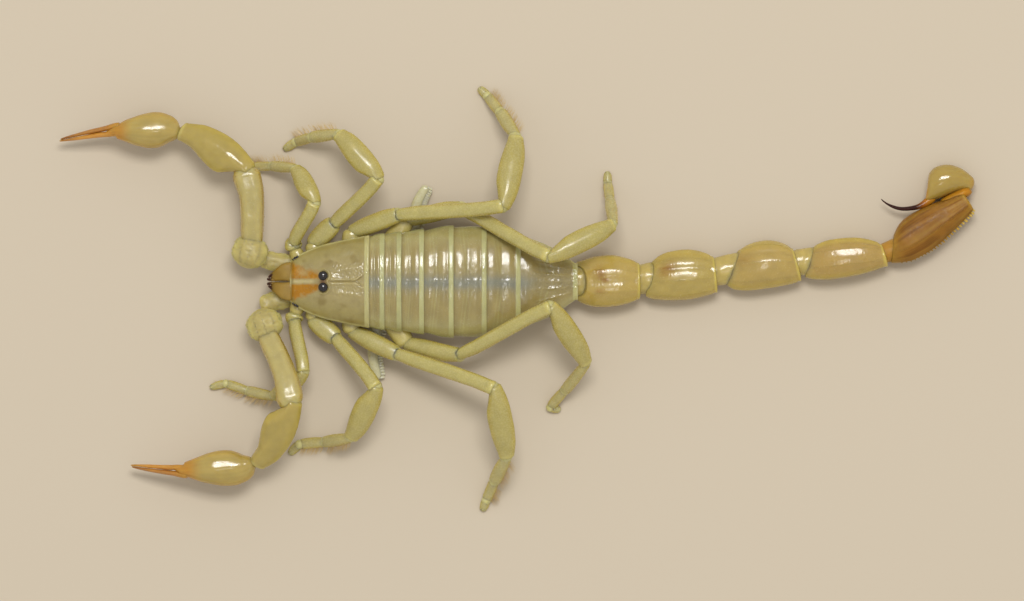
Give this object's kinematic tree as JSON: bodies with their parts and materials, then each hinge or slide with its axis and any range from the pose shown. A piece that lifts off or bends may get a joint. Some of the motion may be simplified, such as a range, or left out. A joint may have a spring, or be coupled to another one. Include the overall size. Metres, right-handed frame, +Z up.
{
  "type": "desert scorpion",
  "caption": "Life-size still museum model of a small pale desert scorpion, lying flat with its claws ahead and its tail laid out behind, the sting folded back beside it.",
  "frame": {"origin": "centre of the bounding box on the floor plane, which the feet and tail rest on", "axes": "+X runs from the head towards the tail, +Y is the animal's right side, +Z is up"},
  "size_m": [0.0702, 0.0328, 0.0065],
  "materials": {
    "pale_shell": "glossy, translucent pale tan shell of the tail rings",
    "back_plates": "glossy olive-tan back plates",
    "limb_shell": "glossy pale straw shell of the legs and upper arms",
    "hand_shell": "glossy amber shell of the claws and jaws",
    "finger_shell": "glossy brown finger shell",
    "brown_tail_shell": "glossy brown shell of the last tail ring and the poison bulb",
    "dark_sting": "polished near-black sting",
    "black_eye": "polished black eyes",
    "comb_shell": "pale, thin comb plates"
  },
  "bodies": {
    "root": {"aculeus": "dark_sting", "carapace": "back_plates", "chelicera_left": "hand_shell", "chelicera_right": "hand_shell", "coxosternum": "limb_shell", "eye_median_left": "black_eye", "eye_median_right": "black_eye", "leg_1_left_femur": "limb_shell", "leg_1_left_foot": "limb_shell", "leg_1_left_patella": "limb_shell", "leg_1_right_femur": "limb_shell", "leg_1_right_foot": "limb_shell", "leg_1_right_patella": "limb_shell", "leg_2_left_femur": "limb_shell", "leg_2_left_foot": "limb_shell", "leg_2_left_patella": "limb_shell", "leg_2_right_femur": "limb_shell", "leg_2_right_foot": "limb_shell", "leg_2_right_patella": "limb_shell", "leg_3_left_femur": "limb_shell", "leg_3_left_foot": "limb_shell", "leg_3_left_patella": "limb_shell", "leg_3_right_femur": "limb_shell", "leg_3_right_foot": "limb_shell", "leg_3_right_patella": "limb_shell", "leg_4_left_femur": "limb_shell", "leg_4_left_foot": "limb_shell", "leg_4_left_patella": "limb_shell", "leg_4_right_femur": "limb_shell", "leg_4_right_foot": "limb_shell", "leg_4_right_patella": "limb_shell", "mesosoma_1": "back_plates", "mesosoma_2": "back_plates", "mesosoma_3": "back_plates", "mesosoma_4": "back_plates", "mesosoma_5": "back_plates", "mesosoma_6": "back_plates", "mesosoma_7": "back_plates", "metasoma_1": "pale_shell", "metasoma_2": "pale_shell", "metasoma_3": "pale_shell", "metasoma_4": "pale_shell", "metasoma_5": "brown_tail_shell", "palp_left_femur": "limb_shell", "palp_left_hand": "hand_shell", "palp_left_movable_finger": "finger_shell", "palp_left_patella": "hand_shell", "palp_left_trochanter": "limb_shell", "palp_right_femur": "limb_shell", "palp_right_hand": "hand_shell", "palp_right_movable_finger": "finger_shell", "palp_right_patella": "hand_shell", "palp_right_trochanter": "limb_shell", "pecten_left": "comb_shell", "pecten_right": "comb_shell", "vesicle": "brown_tail_shell"}
  },
  "joints": []
}
